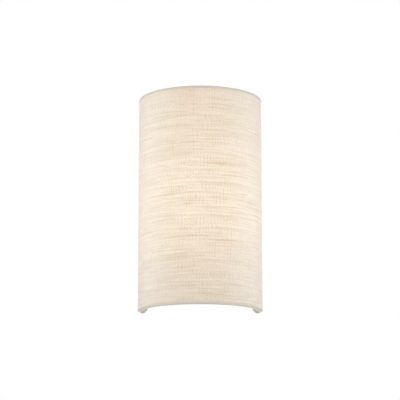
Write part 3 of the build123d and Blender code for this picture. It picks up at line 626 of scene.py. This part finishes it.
hem_linen, tree, shader = surface("folded_linen")
across, high, forward, around = cloth_place(tree)
from_axis = (across * across + forward * forward).maths("SQRT")
sideways = abs(around) / half_width
shoulder_share = above(sideways, *shoulder_span) * (1 - beyond_drop * above(sideways, *beyond_span))
turned_share = above(linen_outer - from_axis, *turned_span)
rim_shade_share = above(abs(high - panel_middle), *rim_span)
rim_shade_share = rim_shade_share * (1 - shoulder_lift * shoulder_share) * (1 - turned_lift * turned_share)
hem_light = blend(tree, above(sideways, *shoulder_light_span), middle_light, shoulder_light)
hem_light = blend(tree, above(sideways, *end_light_span), hem_light, end_light)
trim_cloth(tree, shader, around, high + from_axis, rim_shade_share, tinted(tree, hem_light, 1 - rim_shade_share))

for rim_name, side in (("bottom", -1), ("top", 1)):
    strip = hem(f"{rim_name}_hem", side, hem_heights[rim_name])
    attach(strip, "shade")
    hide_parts(f"{rim_name}_binding")
    paint(strip, hem_linen)

# ---------------------------------------------------------------- sleeves
# Each flat steel upright of the frame has a sleeve of linen sewn round it, with its ends gathered over
# the upright's round ends. The sleeves' lower ends are the two light feet under the shade.
sleeve_centre = 0.08195
sleeve_half_width = 0.00705
sleeve_half_height = 0.1555
sleeve_rear_y = -0.0003
sleeve_front_y = -0.0030
sleeve_edge = 0.0010
gather = 0.0005
sleeve_ripple = 0.00006
ripple_rate = 260
ripple_swell_rate = 71
ripple_swell_start = 1.3
round_steps = 16
side_steps = 60
edge_steps = 5


def sleeve_loop(centre, inset, depth):
    """The sleeve's outline seen from the front, drawn in by inset."""
    radius = sleeve_half_width - inset
    straight = sleeve_half_height - sleeve_half_width
    loop = []
    for end in (1, -1):
        for step in range(round_steps + 1):
            angle = math.pi * step / round_steps
            drawn = radius - gather * math.sin(2 * angle) ** 2
            level = end * (straight + drawn * math.sin(angle))
            loop.append((centre + end * drawn * math.cos(angle), depth, level))
        for step in range(1, side_steps):
            level = end * straight * (1 - 2 * step / side_steps)
            swell = math.sin(level * ripple_swell_rate + ripple_swell_start)
            ripple = -sleeve_ripple * math.sin(level * ripple_rate) * swell
            loop.append((centre - end * (radius + ripple), depth, level))
    return loop


def sleeve_cloth(name, centre):
    """A sleeve with rounded edges, from its outlines between the back and the front."""
    back = []
    front = []
    for step in range(edge_steps + 1):
        turn = math.pi / 2 * step / edge_steps
        inset = sleeve_edge * (1 - math.sin(turn))
        sunk = sleeve_edge * (1 - math.cos(turn))
        back.append(sleeve_loop(centre, inset, sleeve_rear_y - sunk))
        front.insert(0, sleeve_loop(centre, inset, sleeve_front_y + sunk))
    return swept(name, back + front)


# The light that leaves the shade's lower mouth warms the front of each foot.
foot_glow_across = 0.0797
foot_glow_height = -0.1487
foot_glow_width = 0.0022
foot_glow_tall = 0.0024
foot_glow_span = (-0.0056, -0.0042)
sleeve_light = (0.034, 0.034, 0.030)
foot_light = (0.290, 0.215, 0.095)

sleeve_linen, tree, shader = surface("sleeve_linen")
across, high, forward, around = cloth_place(tree)
foot_across = (abs(across) - foot_glow_across) / foot_glow_width
foot_up = (high - foot_glow_height) / foot_glow_tall
foot_glow = above(forward, *foot_glow_span) / (1 + foot_across * foot_across + foot_up * foot_up)
trim_cloth(tree, shader, high, across, 0.0, blend(tree, foot_glow, sleeve_light, foot_light))

twist_pitch = 0.0006
twist_lean = 0.7
thread_brown = (0.66, 0.59, 0.49)
thread_pale = (0.76, 0.70, 0.60)

sewing_thread, tree, shader = surface("sewing_thread")
across, high, forward, around = cloth_place(tree)
twist = ((high * twist_lean + across) * (2 * math.pi / twist_pitch)).maths("SINE")
join(
    tree,
    shader,
    Base_Color=blend(tree, 0.5 + 0.5 * twist, thread_brown, thread_pale),
    Roughness=0.75,
    Sheen_Weight=0.1,
)

stitch_length = 0.0026
stitch_pitch = 0.0036
stitch_radius = 0.00028
stitch_flatness = 0.6
stitch_dip = 0.0002
stitch_sides = 8
stitch_shape = ((-0.5, 0.25), (-0.42, 0.8), (-0.2, 1.0), (0.2, 1.0), (0.42, 0.8), (0.5, 0.25))
seam_margin = 0.012
seam_half = sleeve_half_height - seam_margin


def stitch(name, middle):
    """One stitch of thread, which lies up and down on the sleeve and dips in at both ends."""
    loops = []
    for share, thick in stitch_shape:
        centre = middle + Vector((0.0, -stitch_dip * (2 * share) ** 4, share * stitch_length))
        ring = []
        for step in range(stitch_sides):
            angle = 2 * math.pi * step / stitch_sides
            outward = Vector((math.cos(angle), stitch_flatness * math.sin(angle), 0.0))
            ring.append(centre + stitch_radius * thick * outward)
        loops.append(ring)
    return swept(name, loops)


sleeves = []
for side_name, side in (("left", -1), ("right", 1)):
    sleeve = sleeve_cloth(f"{side_name}_sleeve_cloth", side * sleeve_centre)
    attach(sleeve, "shade")
    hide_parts(f"{side_name}_sleeve")
    paint(sleeve, sleeve_linen)
    gaps = round(2 * seam_half / stitch_pitch)
    stitches = []
    for step in range(gaps + 1):
        middle = Vector((side * sleeve_centre, sleeve_rear_y, seam_half * (2 * step / gaps - 1)))
        stitches.append(stitch(f"{side_name}_stitch", middle))
    seam = joined(f"{side_name}_seam", stitches)
    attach(seam, "shade")
    paint(seam, sewing_thread)
    sleeves += [sleeve, seam]

# ---------------------------------------------------------------- liner
# A sheet of white styrene that the linen is laminated to. It spreads the bulb's light, so its inner face
# is brightest level with the bulb.
lit_centre = (0.0, -0.050, -0.0175)
lit_strength = 0.0055
lit_spread = 0.0045
styrene_dull = (0.78, 0.77, 0.735)
styrene_pale = (0.83, 0.82, 0.79)
styrene_light = (0.27, 0.205, 0.130)
haze_patches = 26.0
fleck_patches = 420.0

liner_material, tree, shader = surface("white_styrene")
reach = distance(tree, lit_centre)
nearness = lit_strength / (lit_spread + reach * reach)
haze = noise(tree, spot(tree), haze_patches)
join(
    tree,
    shader,
    Base_Color=blend(tree, haze, styrene_dull, styrene_pale),
    Roughness=0.45 + 0.15 * haze,
    Emission_Color=tinted(tree, styrene_light, nearness * (0.95 + 0.1 * haze)),
    Emission_Strength=1.0,
    Normal=bumps(tree, noise(tree, spot(tree), fleck_patches), strength=0.15, depth=0.00005),
)
paint(solids["shade_liner"], liner_material)

# ---------------------------------------------------------------- wire frame
# Two hoops of 3 mm steel wire, with their ends turned and welded along flat uprights, and two bent hanger
# lugs. All of it is dipped in white powder coat.
mottle_span = (0.30, 0.70)
fine_share = 0.25
patch_relief = 0.5


def mottled(
    name,
    light,
    dark,
    rough,
    patch=0.004,
    stretch=(1.0, 1.0, 1.0),
    metallic=0.0,
    coat=0.0,
    grain=0.0006,
    relief=0.00003,
    relief_strength=0.3,
):
    """A finish that wanders between two colours and two roughnesses, with a fine relief."""
    material, tree, shader = surface(name)
    drawn = tinted(tree, spot(tree), stretch)
    patches = noise(tree, drawn, 1.0 / patch, 3.0, 0.6)
    fine = noise(tree, drawn, 1.0 / grain)
    share = above((1 - fine_share) * patches + fine_share * fine, *mottle_span)
    smoothest, roughest = rough
    join(
        tree,
        shader,
        Base_Color=blend(tree, share, light, dark),
        Roughness=smoothest + (roughest - smoothest) * share,
        Metallic=metallic,
        Coat_Weight=coat,
        Normal=bumps(tree, fine + patch_relief * patches, strength=relief_strength, depth=relief),
    )
    return material


powder_coat = mottled(
    "white_powder_coat",
    light=(0.86, 0.85, 0.81),
    dark=(0.80, 0.785, 0.74),
    rough=(0.38, 0.50),
    relief=0.00006,
)
for name in (
    "bottom_hoop",
    "top_hoop",
    "left_upright",
    "right_upright",
    "left_hanger_lug",
    "right_hanger_lug",
):
    paint(solids[name], powder_coat)

# ---------------------------------------------------------------- wall plate and bracket
# A pressed steel tray with side channels that hold the shade, and a bent bracket riveted to it for the
# lampholder, both in baked white enamel.
white_enamel = mottled(
    "white_enamel",
    light=(0.87, 0.865, 0.84),
    dark=(0.83, 0.82, 0.79),
    rough=(0.22, 0.36),
    patch=0.03,
    coat=0.25,
    grain=0.0035,
    relief_strength=0.15,
)
for name in ("back_plate", "holder_bracket"):
    paint(solids[name], white_enamel)

# ---------------------------------------------------------------- strap, studs, screws and rivets
# Bright zinc-plated steel: a strap rolled along its length, turned studs, nuts and screws. The earth
# screws are dyed green.
zinc_strap = mottled(
    "zinc_strap",
    light=(0.66, 0.68, 0.69),
    dark=(0.50, 0.52, 0.54),
    rough=(0.24, 0.42),
    patch=0.010,
    stretch=(0.12, 1.0, 1.0),
    metallic=1.0,
    grain=0.0004,
    relief=0.00002,
)
paint(solids["mounting_strap"], zinc_strap)
zinc_fixings = mottled(
    "zinc_fixings",
    light=(0.68, 0.69, 0.70),
    dark=(0.52, 0.53, 0.55),
    rough=(0.22, 0.40),
    patch=0.003,
    metallic=1.0,
    grain=0.0003,
)
for name in (
    "strap_studs",
    "lock_nuts",
    "cap_nuts",
    "bracket_rivets",
    "holder_screws",
    "block_screw",
    "clamp_screws",
):
    paint(solids[name], zinc_fixings)
green_zinc = mottled(
    "green_dyed_zinc",
    light=(0.10, 0.40, 0.19),
    dark=(0.05, 0.26, 0.12),
    rough=(0.28, 0.45),
    patch=0.002,
    metallic=0.8,
    grain=0.0003,
)
for name in ("strap_earth_screw", "plate_earth_screw"):
    paint(solids[name], green_zinc)

# ---------------------------------------------------------------- lampholder
# A glazed porcelain body holds a rolled brass shell with a round thread, and a springy brass tongue
# that touches the bulb's tip.
porcelain = mottled(
    "glazed_porcelain",
    light=(0.88, 0.87, 0.83),
    dark=(0.83, 0.815, 0.77),
    rough=(0.08, 0.16),
    patch=0.012,
    coat=0.6,
    grain=0.0025,
    relief=0.00005,
    relief_strength=0.2,
)
paint(solids["lampholder_body"], porcelain)
brass = mottled(
    "bright_brass",
    light=(0.80, 0.62, 0.32),
    dark=(0.62, 0.44, 0.19),
    rough=(0.20, 0.38),
    patch=0.005,
    metallic=1.0,
)
for name in ("contact_tongue", "earth_tag", "bulb_tip"):
    paint(solids[name], brass)

holder_axis_y = -0.050
thread_pitch = 0.003629
thread_depth = 0.0008
thread_fade = 0.6 * thread_pitch
thread_start = math.pi / 2
thread_facets = 96


def thread_radius(angle, height, root, start, end):
    """The radius of a rolled round thread, which is cut from start to end and fades out there."""
    begun = min(1.0, max(0.0, (height - start) / thread_fade))
    left = min(1.0, max(0.0, (end - height) / thread_fade))
    level = begun * left
    level = level * level * (3 - 2 * level)
    wave = 0.5 + 0.5 * math.cos(2 * math.pi * height / thread_pitch - angle)
    return root + thread_depth * (level * wave + (1 - level))


def threaded(heights, root, span):
    """Profile points up a wall that is threaded over this span of heights."""
    return [
        (lambda angle, height=height: thread_radius(angle - thread_start, height, root, *span), height)
        for height in heights
    ]


def plain(radius, height):
    """A profile point whose radius is the same all round."""
    return (lambda angle: radius, height)


def round_piece(name, profile):
    """A closed piece whose profile turns about the lampholder's axis."""
    loops = []
    for step in range(thread_facets):
        angle = 2 * math.pi * step / thread_facets
        loop = []
        for radius, height in profile:
            reach = radius(angle)
            loop.append((reach * math.sin(angle), holder_axis_y - reach * math.cos(angle), height))
        loops.append(loop)
    return swept(name, loops, ring=True)


def levels(low, high, steps):
    """Even heights from low to high."""
    return [low + (high - low) * step / steps for step in range(steps + 1)]


shell_low = -0.0990
shell_high = -0.0750
shell_root = 0.01252
shell_wall = 0.0005
shell_foot = 0.01292
shell_floor = 0.0007
shell_hole = 0.0070
shell_plain_foot = 0.0020
shell_plain_mouth = 0.0012
shell_span = (shell_low + shell_plain_foot, shell_high - shell_plain_mouth)
shell_steps = 70

shell_levels = levels(shell_low + shell_floor, shell_high, shell_steps)
shell = round_piece(
    "threaded_shell",
    [
        plain(shell_hole, shell_low),
        plain(shell_foot, shell_low),
        *threaded(shell_levels, shell_root + shell_wall, shell_span),
        *threaded(reversed(shell_levels), shell_root, shell_span),
        plain(shell_hole, shell_low + shell_floor),
    ],
)
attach(shell, "fixture")
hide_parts("screw_shell")
paint(shell, brass)

# ---------------------------------------------------------------- bulb
# A common lamp with a rolled screw cap: nickelled cap, black insulator, white moulded housing and an
# opal globe that glows warm over its board.
nickel = mottled(
    "nickelled_cap",
    light=(0.76, 0.75, 0.72),
    dark=(0.60, 0.59, 0.56),
    rough=(0.16, 0.30),
    patch=0.006,
    metallic=1.0,
)
cap_low = -0.0895
cap_high = -0.0705
cap_taper = 0.0020
cap_foot = 0.0106
cap_root = 0.01232
cap_wall = 0.0004
cap_thread_runs_on = 0.0010
cap_plain_top = 0.0030
cap_span = (cap_low + cap_taper - cap_thread_runs_on, cap_high - cap_plain_top)
cap_steps = 60

cap_levels = levels(cap_low + cap_taper, cap_high, cap_steps)
cap = round_piece(
    "threaded_cap",
    [
        plain(cap_foot, cap_low),
        *threaded(cap_levels, cap_root, cap_span),
        *threaded(reversed(cap_levels), cap_root - cap_wall, cap_span),
        plain(cap_foot - cap_wall, cap_low),
    ],
)
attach(cap, "bulb")
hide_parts("bulb_cap")
paint(cap, nickel)

black_plastic = mottled(
    "black_insulator",
    light=(0.035, 0.034, 0.033),
    dark=(0.055, 0.053, 0.05),
    rough=(0.25, 0.40),
    patch=0.003,
)
paint(solids["bulb_insulator"], black_plastic)
white_plastic = mottled(
    "white_moulding",
    light=(0.88, 0.88, 0.855),
    dark=(0.845, 0.84, 0.81),
    rough=(0.34, 0.46),
    patch=0.02,
    grain=0.0007,
)
for name in ("bulb_housing", "terminal_block"):
    paint(solids[name], white_plastic)
board = mottled(
    "white_board",
    light=(0.80, 0.81, 0.81),
    dark=(0.70, 0.71, 0.71),
    rough=(0.35, 0.5),
    patch=0.002,
    metallic=0.3,
    grain=0.0004,
)
paint(solids["led_board"], board)

# The globe shines a little less near its neck, beside the board.
globe_neck = (0.0, -0.050, -0.0315)
neck_span = (0.020, 0.046)
neck_light = (0.32, 0.235, 0.130)
globe_light = (0.42, 0.33, 0.20)
opal_dull = (0.60, 0.58, 0.54)
opal_pale = (0.63, 0.61, 0.57)
opal_patches = 60.0

opal_material, tree, shader = surface("opal_globe")
neck_share = 1 - above(distance(tree, globe_neck), *neck_span)
haze = noise(tree, spot(tree), opal_patches)
join(
    tree,
    shader,
    Base_Color=blend(tree, haze, opal_dull, opal_pale),
    Roughness=0.28 + 0.1 * haze,
    Emission_Color=blend(tree, neck_share, globe_light, neck_light),
    Emission_Strength=1.0,
)
paint(solids["bulb_globe"], opal_material)

# ---------------------------------------------------------------- wiring
# A terminal block joins the wall box's supply to the lampholder's two leads, which pass the plate in a
# rubber bush. A green lead earths the plate.
rubber = mottled(
    "grey_rubber",
    light=(0.20, 0.20, 0.21),
    dark=(0.26, 0.26, 0.27),
    rough=(0.55, 0.75),
    grain=0.0005,
)
paint(solids["wire_bush"], rubber)
for name, light, dark in (
    ("live_lead", (0.030, 0.030, 0.030), (0.045, 0.045, 0.045)),
    ("neutral_lead", (0.82, 0.82, 0.80), (0.76, 0.76, 0.73)),
    ("earth_lead", (0.07, 0.36, 0.13), (0.05, 0.28, 0.10)),
):
    paint(solids[name], mottled(name + "_cover", light, dark, rough=(0.30, 0.45), grain=0.0005))

# ---------------------------------------------------------------- scene update
# The scene is brought up to date. The dressed light stands out of the box round the solids only by the
# ripples of the cloth, by less than 0.1 mm.
bpy.context.view_layer.update()
